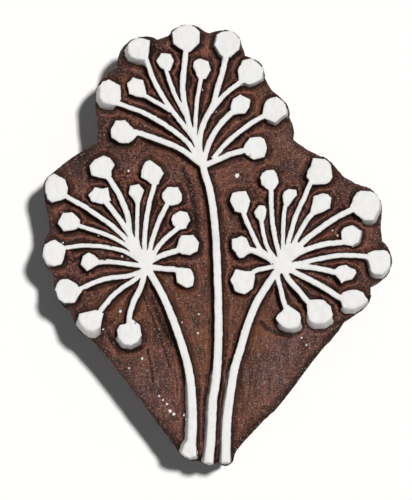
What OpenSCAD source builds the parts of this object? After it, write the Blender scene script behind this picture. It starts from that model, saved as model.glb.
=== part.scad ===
/* [Pattern sheet] */
// Side of one square of the sheet that the pattern is drawn on
square = 0.25; // [0.2:0.01:0.35]
// Width of a fine ray
fine_ray_w = 1.1; // [0.8:0.05:1.2]
// Width of a plain ray
plain_ray_w = 1.25; // [0.9:0.05:1.4]
// Width of a broad ray
broad_ray_w = 1.45; // [1.1:0.05:1.7]
// Width of a stem below its knot
stem_top_w = 1.7; // [1.2:0.05:2.2]
// Width of a stem half way down
stem_w = 2; // [1.5:0.05:2.6]
// Width of a stem at its foot
stem_foot_w = 2.3; // [1.6:0.05:3]

/* [Block] */
// Thickness of the wood under the carved ground
ground_t = 17; // [14:0.5:30]
// Height of the pattern above the carved ground
relief_h = 5; // [2:0.5:8]
// Thickness of the paint on the printing face
coat_t = 0.3; // [0.1:0.05:0.6]

/* [Handle] */
// Length of the handle
handle_l = 66; // [56:1:74]
// Width of the handle
handle_w = 26; // [22:0.5:30]
// Height of the handle
handle_h = 18; // [16:0.5:26]
// Distance that the handle's middle lies above the sheet's middle
handle_up = 5; // [0:0.5:10]
// Radius of the handle's upright corners
corner_r = 6; // [2:0.5:9]
// Width of the eased edge round the face that the handle rests on
eased_edge = 1.5; // [0.5:0.1:2]
// Radius of a finger scoop
scoop_r = 6; // [4:0.5:7]
// Depth of a finger scoop
scoop_depth = 4.2; // [2:0.1:5]
// Length of a finger scoop between the middles of its round ends
scoop_l = 34; // [20:1:38]
// Thickness of the glue
glue_t = 0.2; // [0.1:0.05:0.5]

/* [Screws] */
// Distance between the two screws
screw_pitch = 42; // [30:1:46]
// Length of a screw, head included
screw_l = 30; // [24:0.5:31]
// Diameter of the screw's shank and thread
shank_d = 4.2; // [3:0.1:5]
// Diameter of the thread's core
core_d = 3; // [2:0.1:3.4]
// Length of the thread
thread_l = 18; // [12:0.5:20]
// Distance from one turn of the thread to the next
thread_pitch = 1.8; // [1.2:0.1:2.4]
// Diameter of the head
head_d = 8.2; // [6.5:0.1:10]
// Thickness of the head's rim
head_rim = 0.4; // [0.2:0.05:0.8]
// Width of the slot
slot_w = 1.1; // [0.8:0.1:1.5]
// Depth of the slot
slot_depth = 1.1; // [0.8:0.1:1.5]
// Depth of the head under the face that the handle rests on
head_sunk = 0.4; // [0.1:0.1:1]
// Clearance round the screws and past their points
screw_clear = 0.1; // [0.05:0.05:0.3]

/* [Hidden] */
$fn = 48;
// Middle of the sheet, in squares from its upper left corner
sheet_mid = [217, 245];
// Points worked out along each stretch of a ray, of a stem and of the outline
ray_steps = 2;
stem_steps = 2;
edge_steps = 3;
// Heights of the faces above the one that the handle rests on
glue_z = handle_h;
back_z = glue_z + glue_t;
ground_z = back_z + ground_t;
face_z = ground_z + relief_h;
// How far the pattern is let into the slab that it grows from
rooted = ground_t / 4;
// The head's cone has 90 degrees between its sides
head_cone_h = (head_d - shank_d) / 2;
// Share of a turn of the thread that one of its two flanks takes
thread_flank = 0.4;

// The block's outline on the sheet, clockwise from the upper left. Each row is one smooth stretch
// between two notches, and starts where the row before it ends
block_edge = [
    [[116, 66], [117.5, 57], [122, 47], [131, 39], [142, 35.5], [151, 35.5], [157, 38.5]],
    [[157, 38.5], [167, 35], [172, 29], [180, 24.5], [188, 23], [197, 25], [203, 29], [209, 32]],
    [[209, 32], [221, 29], [232, 30], [239, 36], [242.5, 44], [245.5, 55]],
    [[245.5, 55], [256, 58.5], [263, 66], [265.5, 77], [272, 89.5]],
    [[272, 89.5], [281, 96.5], [288, 105.5], [290.5, 118], [294.5, 128], [294, 139]],
    [[294, 139], [305, 147.5], [320, 155.5], [328, 158], [335, 166], [344, 176]],
    [[344, 176], [357, 183.5], [371, 188.5], [379.5, 197.5], [383, 209], [381.5, 228]],
    [[381.5, 228], [383, 241.5]],
    [[383, 241.5], [389, 247.5], [393, 259], [390.5, 271], [384, 279.5], [371, 287]],
    [[371, 287], [371.5, 296], [367.5, 306], [358, 313.5], [345, 322]],
    [[345, 322], [337, 334], [320, 353], [308, 368.5], [296, 385], [277, 409], [265, 420], [240, 447],
     [234.5, 456], [232.5, 463], [225, 466.8], [218, 463.5]],
    [[218, 463.5], [209, 467], [199, 461.5]],
    [[199, 461.5], [192, 462], [182, 457.5], [177, 450], [161, 429], [126, 383], [96, 346.5],
     [79, 331.5], [72, 320], [70, 312]],
    [[70, 312], [60, 303.5], [53.5, 291], [53, 276]],
    [[53, 276], [44.5, 266.5], [41, 254], [43.5, 242], [47.5, 234]],
    [[47.5, 234], [48, 220], [43, 196], [44, 181], [52.5, 172]],
    [[52.5, 172], [73, 156], [88, 147], [96.5, 143]],
    [[96.5, 143], [97, 128], [94.5, 103], [95.5, 88], [103, 76.5], [116, 66]]
];

// Each twig of a flower is a bud's corners, the ray from it to the knot and the ray's width
left_knot = [146, 268];
left_twigs = [
    [[[54, 174.5], [65, 180.5], [68, 189.5], [67, 195.5], [65.5, 200], [52, 204], [47.5, 200.5],
      [45, 192], [45.5, 184], [48, 178]],
     [[65, 197], [82, 206.5], [98, 217], [113, 228], [127, 241.5], [141, 260], left_knot], plain_ray_w],
    [[[62.5, 214], [72, 213.5], [76, 217], [80, 221.5], [80, 225], [77, 230], [71, 232], [63.5, 232.5],
      [57.5, 224.5]],
     [[77, 226.5], [95, 232], [110, 237.5], [126, 246.5], [140, 260]], fine_ray_w],
    [[[55, 241], [64, 246.5], [66, 252], [63.5, 261], [61.5, 266], [54, 267.5], [47, 265.5], [43, 257],
      [43, 250], [45, 245.5], [50, 242.5]],
     [[63, 249.5], [84, 246.8], [104, 248], [123, 252], [138, 261], left_knot], fine_ray_w],
    [[[88.5, 254], [93.5, 256], [98.5, 260], [98, 266.5], [92.5, 269.5], [87, 272.5], [80.5, 265.5],
      [83, 257]],
     [[96, 264], [108, 263], [126, 265], left_knot], plain_ray_w],
    [[[60, 281], [68, 280], [77, 285.5], [82, 292.5], [78, 298.5], [75, 304], [64, 304.5], [59, 301],
      [55, 290.5], [57, 285]],
     [[78, 291], [96, 283], [112, 279], [128, 277.5], [146, 271]], plain_ray_w],
    [[[79.5, 315], [88, 313], [96, 311], [104, 315], [102, 322], [100.5, 328.5], [94, 333], [86, 331.5],
      [81, 326], [78, 320]],
     [[99, 314], [110, 300], [123, 288.5], [137, 279.5], left_knot], plain_ray_w],
    [[[120, 326], [125, 325], [133, 320.5], [140, 326], [142, 337], [138, 343], [131, 347], [123, 345],
      [118, 339], [117, 331]],
     [[129, 324], [130, 314], [135, 300], [141.5, 287], left_knot], broad_ray_w],
    [[[103, 157], [110, 159], [114.5, 165.5], [111.5, 172], [112, 177], [106, 180.5], [99, 179],
      [91, 176.5], [89, 167.5], [95, 160.5]],
     [[108, 178], [117.5, 193], [124.5, 208], [128.7, 222], [129.7, 234], [137, 252], left_knot],
     broad_ray_w],
    [[[95, 188], [102, 190], [108, 188.5], [109, 196], [111, 202], [102, 205.5], [91.5, 203], [88, 196],
      [92, 192]],
     [[104, 201], [114, 213.5], [126, 230], [137, 249], left_knot], broad_ray_w],
    [[[130, 187], [139, 185], [144, 191.5], [142, 198], [139.5, 205], [135.5, 205], [132, 199.5],
      [128.5, 195]],
     [[137.5, 203], [137.2, 225], [137, 239], [139.5, 251], left_knot], fine_ray_w],
    [[[145, 163.5], [150, 161], [161, 169], [164, 174.5], [160, 181], [158.5, 186], [151, 185.5],
      [146, 181.5], [141, 178.5], [141, 172], [143, 167]],
     [[154.5, 184], [150, 201], [147, 217], [145, 233], [144.5, 252], left_knot], plain_ray_w],
    [[[167.5, 188], [178, 188], [182, 196], [181.5, 202], [178, 205.5], [171.5, 207], [165, 204],
      [162, 200], [162, 194.5]],
     [[168, 204], [161, 218], [156, 230], [151.5, 244], left_knot], plain_ray_w],
    [[[180, 212], [187.5, 213.5], [190.5, 222], [187, 227], [186, 230], [179, 231.5], [172.5, 226],
      [171.5, 219.5], [173, 216]],
     [[179.5, 228], [168, 237.5], [159, 247], left_knot], plain_ray_w],
    [[[181.5, 236.5], [193.5, 236], [199, 243.5], [197.5, 252.5], [190, 256.5], [182, 255.5], [176, 252],
      [177, 247], [179.5, 240]],
     [[181, 251], [165, 255.5], [152, 262], left_knot], broad_ray_w],
    [[[178, 268.5], [191, 270], [193.5, 275.5], [194.5, 280], [193, 287], [187.5, 289.5], [182, 287],
      [177, 284], [175.5, 275], [175.5, 269]],
     [[178, 271.5], [168, 270.3], left_knot], broad_ray_w]
];
left_stem = [left_knot, [154, 281], [163, 297], [171.5, 317], [177.5, 333], [183.7, 352], [188.5, 370],
             [191.5, 390], [192.5, 410], [192.5, 430], [191.7, 446], [192.3, 458]];
left_foot = [[190, 438], [193, 440], [192.5, 457], [189.5, 459.5], [184, 457], [181.5, 454], [183.5, 447]];
// The wood left standing between the rays where they meet
left_web = [[141.5, 278.5], [141.5, 271.5], [139, 264], [127.5, 248.5], [129.5, 242.5], [135, 241.5],
            [141, 256.5], [146.5, 253.5], [152.5, 251], [156, 255.5], [149, 266.5], [153, 272],
            [150.5, 279.5], [146, 276]];

middle_knot = [203, 167];
middle_twigs = [
    [[[102, 82.5], [109, 80.5], [115, 83.5], [120.5, 86.5], [121, 100], [117, 106.5], [111, 106],
      [103, 103.5], [99, 99], [99, 88]],
     [[118, 104], [142, 113], [163, 124.5], [181, 137.5], [190, 146.5], [198, 160]], plain_ray_w],
    [[[115.5, 121.5], [125, 121], [133, 129.5], [137, 137], [134, 140.5], [128.5, 144.5], [119, 144],
      [111.5, 138.5], [110.5, 130], [113.5, 126]],
     [[134, 133], [152, 138.5], [168, 144.5], [184, 152], middle_knot], broad_ray_w],
    [[[127.5, 45.5], [131, 41.5], [136, 38.8], [140, 38.5], [150, 41], [149, 50], [148.5, 58], [146, 61],
      [137, 60], [131, 58], [128, 54]],
     [[146, 59], [152.5, 78.5], [164, 100], [176, 116.5], [184, 127], [194, 140]], plain_ray_w],
    [[[133, 77.5], [138, 80], [143, 81], [145, 87], [146.5, 94.5], [142, 98.5], [135, 97], [129, 95],
      [127, 84.5], [130.5, 81.5]],
     [[142, 95], [150, 99.5], [162, 106.5], [171, 112]], fine_ray_w],
    [[[156, 61.5], [159, 57.5], [161, 54], [166, 54], [170.5, 55], [173, 59], [174, 62], [172, 67],
      [170, 72], [165, 71], [161, 69], [158, 65.5]],
     [[166, 70], [168.5, 79], [174, 94], [180, 106], [187, 119]], fine_ray_w],
    [[[172, 33], [176, 29.5], [180, 27], [186, 25], [192, 25.5], [196, 28.5], [200, 33], [199.5, 43.5],
      [196, 47.5], [190, 53], [184, 52], [179, 49], [173, 44.5]],
     [[186, 51], [184.5, 65], [182.5, 90], [186, 112], [190, 129], [196, 144], middle_knot], broad_ray_w],
    [[[200, 59], [204, 60.5], [208.5, 62], [211, 70.5], [207, 78], [206, 80], [198, 80], [195.5, 73.5],
      [192.5, 67.5], [194, 62.5], [196.5, 60.5]],
     [[201, 78], [199, 90], [196.5, 105], [195.5, 125], [195, 139]], fine_ray_w],
    [[[217, 35], [223, 32], [231, 31.5], [236, 35.5], [240.5, 40], [240, 46], [239, 50.5], [230.5, 58],
      [223, 58], [219, 53.5], [214.5, 46], [216, 40]],
     [[226, 57], [222, 75], [217, 91], [213, 106], [206, 119], [200.5, 134], [199.5, 150], middle_knot],
     broad_ray_w],
    [[[242.5, 61], [251, 59], [257, 62.5], [261, 67], [263.5, 71], [262, 80], [256, 83.5], [250, 85.5],
      [243.5, 84], [238.5, 80.5], [237.5, 72], [240, 66]],
     [[243, 81], [229, 91.5], [219, 101.5], [210, 114]], plain_ray_w],
    [[[240.5, 95], [250.5, 101], [249.5, 108.5], [245, 114.5], [238, 115], [232, 116.5], [230, 108],
      [233, 99.5]],
     [[235, 111], [228, 117], [219, 127], [212, 138], [207, 150], middle_knot], broad_ray_w],
    [[[268, 100], [277, 97.5], [282, 101], [286, 105.5], [287, 111], [286, 115.5], [280, 119.5],
      [275, 124], [269, 121.5], [263.5, 119], [262.5, 114.5], [264, 107], [265, 103.5]],
     [[265, 116.5], [250, 125], [233, 138], [222, 149], [213, 160]], plain_ray_w],
    [[[250, 138.5], [261, 138], [264.5, 140], [267, 149], [264.5, 158], [254, 161], [246, 156],
      [243.5, 150], [244, 147], [246.5, 143]],
     [[246, 151.5], [231, 155], [219, 160.5], middle_knot], broad_ray_w]
];
middle_stem = [middle_knot, [205, 175], [209, 188], [213, 210], [216, 240], [218, 290], [218.5, 325],
               [218, 355], [216, 382], [213, 400], [212, 420], [211, 440], [208.5, 464]];

right_knot = [282, 267];
right_twigs = [
    [[[232.5, 194], [238, 192.5], [246, 192], [248.5, 198], [250.5, 202.5], [248.5, 210], [246.5, 215],
      [241.5, 214], [235, 213], [230, 202.5], [231, 197.5]],
     [[243, 213], [247, 223], [253, 236.5], [260, 250], [273, 264]], plain_ray_w],
    [[[259.5, 206], [265, 207], [267, 211], [266, 217], [264, 223], [258.5, 221.5], [255.5, 218],
      [254, 213.5], [256.5, 209.5]],
     [[261, 220], [264, 238], [269, 252], right_knot], fine_ray_w],
    [[[262, 174.5], [266, 171.5], [274, 171], [277, 175], [279, 183.5], [277, 187.5], [274, 191],
      [268.5, 191.5], [261.5, 186], [260, 178.5]],
     [[271, 190], [271.3, 201], [272, 217], [274.5, 237], right_knot], plain_ray_w],
    [[[289, 190], [296, 191], [297.5, 196.5], [294, 200], [291, 204], [288, 208], [283, 204],
      [282.5, 197], [284, 193]],
     [[286, 203], [283.5, 221], [283, 240], right_knot], fine_ray_w],
    [[[313, 159], [325, 160], [329, 163], [331, 166], [332, 172], [332.5, 178.5], [329.5, 183.5],
      [326.5, 185], [317, 186], [312.5, 185.5], [306.5, 178.5], [307.5, 172.5], [310.5, 167]],
     [[311, 183], [305, 197.5], [298, 212], [293, 226], [288, 245], right_knot], plain_ray_w],
    [[[313.5, 197.5], [319, 195.5], [323, 194.5], [328, 195.5], [331.5, 199.5], [330.5, 205.5],
      [330, 209.5], [321.5, 214], [315, 216.5], [310, 213], [312.5, 203.5]],
     [[314, 213], [307, 221], [299, 235], [291, 250], right_knot], plain_ray_w],
    [[[357, 194], [360.5, 192], [367, 192], [372, 192.5], [375.5, 194.5], [378.5, 198.5], [380, 204],
      [379.5, 209], [377, 214.5], [374, 221], [372, 222], [363.5, 221.5], [353, 213], [350, 208],
      [352, 203], [353.5, 198.5]],
     [[352, 211], [338, 218], [324, 227], [310, 237.5], [298, 248.5], right_knot], broad_ray_w],
    [[[344, 229], [347, 227.5], [353, 226.5], [355.5, 228.5], [361, 232.5], [361, 235.5], [360, 240.5],
      [359, 243.5], [354, 246], [352.5, 247.5], [345, 246], [341.5, 239.5], [341, 233]],
     [[346, 243], [326, 245.2], [307, 250.5], [295, 257], right_knot], broad_ray_w],
    [[[368, 254], [373, 252], [384, 251.5], [387.5, 253], [390, 256], [390.5, 262], [389.5, 268],
      [386, 273], [382, 276], [373, 275], [370.5, 272], [369.5, 267], [368, 262], [365.5, 259.5]],
     [[368, 258], [350, 256.7], [334, 257.2], [318, 260.5], [302, 264.3], right_knot], plain_ray_w],
    [[[346, 266], [349.5, 268.5], [355, 270.5], [356.5, 274], [354.5, 277.5], [352.5, 280.5],
      [344.5, 282.5], [341.5, 285], [339, 281], [335.5, 276.5], [334, 270.5], [339, 267.5]],
     [[336, 273.5], [318, 269.8], [302, 267.8], right_knot], broad_ray_w],
    [[[343, 293.5], [350, 291], [353, 290.5], [357, 291], [363, 293.5], [365, 297], [368, 300.5],
      [366, 304], [360, 308], [354, 310.5], [347.5, 310], [342.5, 308.5], [340.5, 303], [341, 296]],
     [[342, 300], [328.5, 291.8], [315, 283.7], [300, 276.3], right_knot], broad_ray_w],
    [[[310, 301], [320, 300.8], [324, 301.5], [327, 304.5], [331, 307.5], [331.5, 311.5], [333, 316],
      [331, 320], [324.5, 324.5], [315.5, 325], [311, 323.5], [308.5, 320], [307, 313.5], [306.5, 307]],
     [[309, 304], [297.5, 290.5], [287.5, 279.5], right_knot], broad_ray_w],
    [[[287, 305.5], [292, 308.5], [296.5, 312], [300, 314.5], [301, 319.5], [300.5, 324], [298.5, 327.5],
      [293, 330], [286, 330], [281.5, 327], [278, 323.5], [275.5, 320], [277.5, 316], [282, 312]],
     [[285, 307], [283, 300], [279.5, 286.5], [277.5, 277], [279, 268]], plain_ray_w],
    [[[235.5, 270.5], [241, 271], [244, 272], [250, 272.5], [255, 275.5], [254.5, 281.5], [253.5, 287],
      [253, 290], [248, 293.5], [244.5, 295.5], [238, 294], [234.5, 292], [233, 287], [230, 281.5],
      [233.5, 275]],
     [[254, 273], [262, 270.3], [271, 268.3], right_knot], plain_ray_w],
    [[[232, 240], [236, 239], [241.5, 237], [247, 239.5], [248, 243], [250, 248], [251.5, 254],
      [247, 256], [244, 259], [239.5, 260], [237, 257], [235.5, 253.5], [232, 250], [231.5, 245]],
     [[247, 250], [255, 252.5], [264, 257], right_knot], broad_ray_w]
];
right_web = [[252, 250], [261.5, 248.5], [273.5, 259], [281, 257], [285.5, 249], [293, 243], [299.5, 243.5],
             [304.5, 248.5], [297, 254], [289.5, 263.5], [290, 269.5], [290.5, 275], [280.5, 275],
             [276, 283], [276, 270.5], [274, 264], [264, 259]];
right_stem = [right_knot, [275, 275], [267, 287], [258.5, 300], [251, 317], [244.5, 335.5], [239.5, 353],
              [234.5, 370], [231.5, 388], [229, 404], [227, 421], [226, 441], [226, 464]];

// A point of the sheet in millimetres from the sheet's middle
function on_block(p) = [(p.x - sheet_mid.x) * square, (sheet_mid.y - p.y) * square];
function knot_of(pts, i) = pts[max(0, min(len(pts) - 1, i))];
function bend(a, b, c, d, t) =
    0.5 * (2 * b + (c - a) * t + (2 * a - 5 * b + 4 * c - d) * t * t + (3 * b - a - 3 * c + d) * t * t * t);
// A smooth line through the points of pts
function smooth(pts, steps) = [
    for (i = [0 : len(pts) - 2])
        for (k = [0 : steps - 1])
            bend(knot_of(pts, i - 1), pts[i], pts[i + 1], knot_of(pts, i + 2), k / steps),
    pts[len(pts) - 1]
];
function heading(line, i) = let (d = knot_of(line, i + 1) - knot_of(line, i - 1)) d / norm(d);
function across(line, i) = let (h = heading(line, i)) [-h.y, h.x];
// The outline of a band along a line, with widths at its start, middle and end
function band(line, w_start, w_mid, w_end) = let (
    n = len(line) - 1,
    half = [for (i = [0 : n]) lookup(i / n, [[0, w_start / 2], [0.5, w_mid / 2], [1, w_end / 2]])]
) concat(
    [for (i = [0 : n]) line[i] + across(line, i) * half[i]],
    [for (i = [n : -1 : 0]) line[i] - across(line, i) * half[i]]
);
function placed(pts) = [for (p = pts) on_block(p)];
function middle_of(pts) = [for (p = pts) 1] * pts / len(pts);

// The closed outline made of smooth stretches, each without its last point
function joined(rows) = [
    for (row = rows)
        let (line = smooth(placed(row), edge_steps))
            for (i = [0 : len(line) - 2]) line[i]
];

module twigs_2d(twigs) {
    for (twig = twigs) {
        polygon(placed(twig[0]));
        ray = concat([middle_of(twig[0])], twig[1]);
        polygon(band(smooth(placed(ray), ray_steps), twig[2], twig[2], twig[2]));
    }
}

module stem_2d(line) {
    polygon(band(smooth(placed(line), stem_steps), stem_top_w, stem_w, stem_foot_w));
}

module left_flower_2d() {
    twigs_2d(left_twigs);
    stem_2d(left_stem);
    polygon(placed(left_foot));
    polygon(placed(left_web));
}

module middle_flower_2d() {
    twigs_2d(middle_twigs);
    stem_2d(middle_stem);
}

module right_flower_2d() {
    twigs_2d(right_twigs);
    stem_2d(right_stem);
    polygon(placed(right_web));
}

// Everything that the block's wood keeps clear of round a screw
module screw_room() {
    cylinder(h = head_sunk + head_rim + screw_clear, d = head_d + 2 * screw_clear);
    translate([0, 0, head_sunk + head_rim + screw_clear])
        cylinder(h = head_cone_h, d1 = head_d + 2 * screw_clear, d2 = shank_d + 2 * screw_clear);
    cylinder(h = head_sunk + screw_l + screw_clear, d = shank_d + 2 * screw_clear);
}

module at_screw(side) {
    translate([0, handle_up + side * screw_pitch / 2, 0]) children();
}

module printing_block() {
    color("#5e3229") difference() {
        union() {
            translate([0, 0, back_z]) linear_extrude(ground_t) polygon(joined(block_edge));
            translate([0, 0, ground_z - rooted]) linear_extrude(relief_h + rooted) left_flower_2d();
            translate([0, 0, ground_z - rooted]) linear_extrude(relief_h + rooted) middle_flower_2d();
            translate([0, 0, ground_z - rooted]) linear_extrude(relief_h + rooted) right_flower_2d();
        }
        for (side = [-1, 1]) at_screw(side) screw_room();
    }
}

module left_flower_coat() {
    color("#f2f1ee") translate([0, 0, face_z]) linear_extrude(coat_t) left_flower_2d();
}

module middle_flower_coat() {
    color("#f2f1ee") translate([0, 0, face_z]) linear_extrude(coat_t) middle_flower_2d();
}

module right_flower_coat() {
    color("#f2f1ee") translate([0, 0, face_z]) linear_extrude(coat_t) right_flower_2d();
}

// The handle seen from above: a bar with round upright corners
module handle_plan() {
    for (sx = [-1, 1], sy = [-1, 1])
        translate([sx * (handle_w / 2 - corner_r), sy * (handle_l / 2 - corner_r)]) circle(r = corner_r);
    square([handle_w - 2 * corner_r, handle_l], center = true);
    square([handle_w, handle_l - 2 * corner_r], center = true);
}

// A side view of the handle, len across, with the edges of the face that it rests on eased
module eased_side(len) {
    polygon([[-len / 2, handle_h], [-len / 2, eased_edge], [-len / 2 + eased_edge, 0],
             [len / 2 - eased_edge, 0], [len / 2, eased_edge], [len / 2, handle_h]]);
}

module finger_scoop() {
    rotate([90, 0, 0]) cylinder(h = scoop_l, r = scoop_r, center = true);
    for (sy = [-1, 1]) translate([0, sy * scoop_l / 2, 0]) sphere(r = scoop_r);
}

module handle() {
    color("#6b3d2c") difference() {
        translate([0, handle_up, 0]) difference() {
            intersection() {
                linear_extrude(handle_h) handle_plan();
                rotate([90, 0, 0]) linear_extrude(handle_l, center = true) eased_side(handle_w);
                rotate([90, 0, 90]) linear_extrude(handle_w, center = true) eased_side(handle_l);
            }
            for (sx = [-1, 1])
                translate([sx * (handle_w / 2 - scoop_depth + scoop_r), 0, handle_h / 2]) finger_scoop();
        }
        for (side = [-1, 1]) at_screw(side) screw_room();
    }
}

module glue_line() {
    color("#c9a15a") difference() {
        translate([0, handle_up, glue_z]) linear_extrude(glue_t) handle_plan();
        for (side = [-1, 1]) at_screw(side) screw_room();
    }
}

// Half the outline of a screw with its head down, turned about the upright axis
module screw_profile() {
    root_z = screw_l - thread_l;
    flank = thread_flank * thread_pitch;
    flat = thread_pitch - 2 * flank;
    turns = floor((thread_l - flat) / thread_pitch) - 1;
    polygon(concat(
        [[0, 0], [head_d / 2, 0], [head_d / 2, head_rim], [shank_d / 2, head_rim + head_cone_h],
         [shank_d / 2, root_z], [core_d / 2, root_z + flat]],
        [for (k = [0 : turns - 1]) for (p = [[core_d, 0], [shank_d, flank], [core_d, 2 * flank]])
            [p.x / 2, root_z + 2 * flat + k * thread_pitch + p.y]],
        [[core_d / 2, screw_l - thread_pitch], [0, screw_l]]
    ));
}

module screw() {
    translate([0, 0, head_sunk]) difference() {
        rotate_extrude() screw_profile();
        cube([head_d + 2 * screw_clear, slot_w, 2 * slot_depth], center = true);
    }
}

module handle_screws() {
    color("#8d8a84") for (side = [-1, 1]) at_screw(side) screw();
}

printing_block();
left_flower_coat();
middle_flower_coat();
right_flower_coat();
handle();
glue_line();
handle_screws();
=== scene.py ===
"""A hand-carved wooden printing stamp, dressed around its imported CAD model.

The stamp lies with its carved face up. The block is one mesh, raised and carved from the CAD solid's own
outlines. The paint, the handle, the glue and the screws are separate pieces that touch it where the CAD says.
All lengths in the code are millimetres until a mesh is finished, and metres from there on.
"""

import logging
import math
import random
from collections.abc import Callable, Iterable
from dataclasses import dataclass, field
from enum import IntEnum

import bmesh
import bpy
from mathutils import Matrix, Vector, noise
from mathutils.bvhtree import BVHTree
from mathutils.kdtree import KDTree


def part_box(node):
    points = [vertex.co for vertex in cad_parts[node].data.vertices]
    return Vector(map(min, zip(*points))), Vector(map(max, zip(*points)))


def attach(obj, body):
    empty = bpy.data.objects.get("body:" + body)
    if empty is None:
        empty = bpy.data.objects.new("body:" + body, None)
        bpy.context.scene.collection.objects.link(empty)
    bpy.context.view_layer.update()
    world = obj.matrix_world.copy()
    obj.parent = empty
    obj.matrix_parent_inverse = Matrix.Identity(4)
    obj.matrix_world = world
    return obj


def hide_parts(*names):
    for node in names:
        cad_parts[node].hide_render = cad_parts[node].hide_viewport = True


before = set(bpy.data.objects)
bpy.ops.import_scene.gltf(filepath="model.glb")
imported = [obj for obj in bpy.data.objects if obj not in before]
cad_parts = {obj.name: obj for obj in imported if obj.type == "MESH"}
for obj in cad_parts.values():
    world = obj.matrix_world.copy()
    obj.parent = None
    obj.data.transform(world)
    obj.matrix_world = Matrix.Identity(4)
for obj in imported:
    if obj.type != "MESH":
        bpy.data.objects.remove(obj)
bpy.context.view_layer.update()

LOG = logging.getLogger("stamp")
MM = 0.001
MERGE = 0.0004
MOST_SPLITS = 9
SAME_PLANE = 0.9999
UP = Vector((0, 0, 1))
# The pattern sheet is the photograph: its pixel (217, 245) lies over the middle of the block.
SHEET_MID = (217, 245)
SHEET_HEIGHT = 500
SQUARE = 0.25
Colour = tuple[float, float, float]
Socket = bpy.types.NodeSocket


class Zone(IntEnum):
    """Stretches of the block's surface, kept as the faces' material index while it is carved."""

    GROUND = 0
    RELIEF = 1
    SIDE = 2
    BACK = 3


def on_block(px: float, py: float) -> Vector:
    """The point of the block, in mm, that lies under a square of the pattern sheet."""
    return Vector(((px - SHEET_MID[0]) * SQUARE, (SHEET_MID[1] - py) * SQUARE, 0))


def ease(value: float, low: float, high: float) -> float:
    """Rises smoothly from 0 at low to 1 at high.

    Args:
        value: where to read the curve.
        low: where the rise starts.
        high: where it ends, which may be under low.

    Returns:
        A share from 0 to 1.
    """
    share = min(1.0, max(0.0, (value - low) / (high - low)))
    return share * share * (3 - 2 * share)


def layered(place: Vector, size: float, octaves: int = 3) -> float:
    """Layered noise from about -1 to 1.

    Args:
        place: a point in mm.
        size: width in mm of the largest lumps.
        octaves: number of layers, each half as wide as the one before.

    Returns:
        The noise at that point.
    """
    return noise.fractal(place / size, 1.0, 2.0, octaves)


def mesh_of(node: str) -> bmesh.types.BMesh:
    """A merged copy of a CAD node's mesh, in mm."""
    bm = bmesh.new()
    bm.from_mesh(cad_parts[node].data)
    bmesh.ops.scale(bm, vec=(1 / MM, 1 / MM, 1 / MM), verts=bm.verts)
    bmesh.ops.remove_doubles(bm, verts=bm.verts, dist=MERGE)
    bmesh.ops.dissolve_degenerate(bm, dist=MERGE, edges=bm.edges)
    return bm


def split_long(bm: bmesh.types.BMesh, limit: Callable[[bmesh.types.BMEdge], float]) -> None:
    """Splits long edges in half, again and again, and evens out the triangles of each flat face.

    Args:
        bm: the mesh, made of triangles.
        limit: the length in mm past which an edge is split.
    """
    for _ in range(MOST_SPLITS):
        long_edges = [e for e in bm.edges if e.calc_length() > limit(e)]
        if not long_edges:
            return
        bmesh.ops.subdivide_edges(bm, edges=long_edges, cuts=1)
        bmesh.ops.triangulate(bm, faces=[f for f in bm.faces if len(f.verts) > 3])
        bm.normal_update()
        inner = [
            e
            for e in bm.edges
            if len(e.link_faces) == 2
            and e.link_faces[0].material_index == e.link_faces[1].material_index
            and e.link_faces[0].normal.dot(e.link_faces[1].normal) > SAME_PLANE
        ]
        bmesh.ops.beautify_fill(bm, faces=bm.faces, edges=inner)


def edge_between(edge: bmesh.types.BMEdge, first: Zone, second: Zone) -> bool:
    """Whether an edge has a face of each of two zones."""
    return {f.material_index for f in edge.link_faces} == {int(first), int(second)}


def flat_normal(edge: bmesh.types.BMEdge, zone: int) -> Vector:
    """The level direction that leaves a level face of zone across one of its edges."""
    a, b = (v.co for v in edge.verts)
    face = next(f for f in edge.link_faces if f.material_index == zone)
    side = (b - a).cross(UP).normalized()
    away = (a + b) / 2 - face.calc_center_median()
    return side if side.dot(away) > 0 else -side


def finish_mesh(bm: bmesh.types.BMesh, name: str, smooth_deg: float | None) -> bpy.types.Object:
    """Turns a bmesh in mm into a named object in metres, placed in its own mesh.

    Args:
        bm: the mesh, which is freed.
        name: the piece's name.
        smooth_deg: edges sharper than this angle stay sharp, and None keeps every face flat.

    Returns:
        The object, linked to the scene and riding on the stamp's one body.
    """
    bmesh.ops.scale(bm, vec=(MM, MM, MM), verts=bm.verts)
    bm.normal_update()
    mesh = bpy.data.meshes.new(name)
    bm.to_mesh(mesh)
    bm.free()
    obj = bpy.data.objects.new(name, mesh)
    bpy.context.scene.collection.objects.link(obj)
    if smooth_deg is not None:
        mesh.shade_smooth()
        mesh.set_sharp_from_angle(angle=math.radians(smooth_deg))
    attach(obj, "root")
    return obj


def add_attribute(obj: bpy.types.Object, name: str, values: Iterable[float]) -> None:
    """Stores one number for each vertex, for the material to read."""
    attribute = obj.data.attributes.new(name, "FLOAT", "POINT")
    attribute.data.foreach_set("value", list(values))


@dataclass(frozen=True)
class Wobble:
    """Small sideways errors of a hand-cut line: slow waves, nicks and a few burrs, in mm."""

    wave: float = 0.07
    wave_size: float = 2.6
    nick: float = 0.1
    nick_size: float = 0.75
    burr: float = 1.1
    burr_size: float = 1.2
    burr_from: float = 0.34

    def __call__(self, place: Vector) -> Vector:
        """How far the cut lies beside its line at a point."""
        flat = Vector((place.x, place.y, 0))
        slow = noise.noise_vector(flat / self.wave_size) * self.wave
        fast = noise.noise_vector(flat / self.nick_size) * self.nick
        torn = max(0.0, noise.noise(flat / self.burr_size) - self.burr_from) * self.burr
        rough = noise.noise_vector(flat * 2 / self.nick_size) * torn
        return Vector((slow.x + fast.x + rough.x, slow.y + fast.y + rough.y, 0))


CUT_WOBBLE = Wobble()
# How far the relief's outline is cut back from the CAD's, in mm.
TRIM = 0.06


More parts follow.
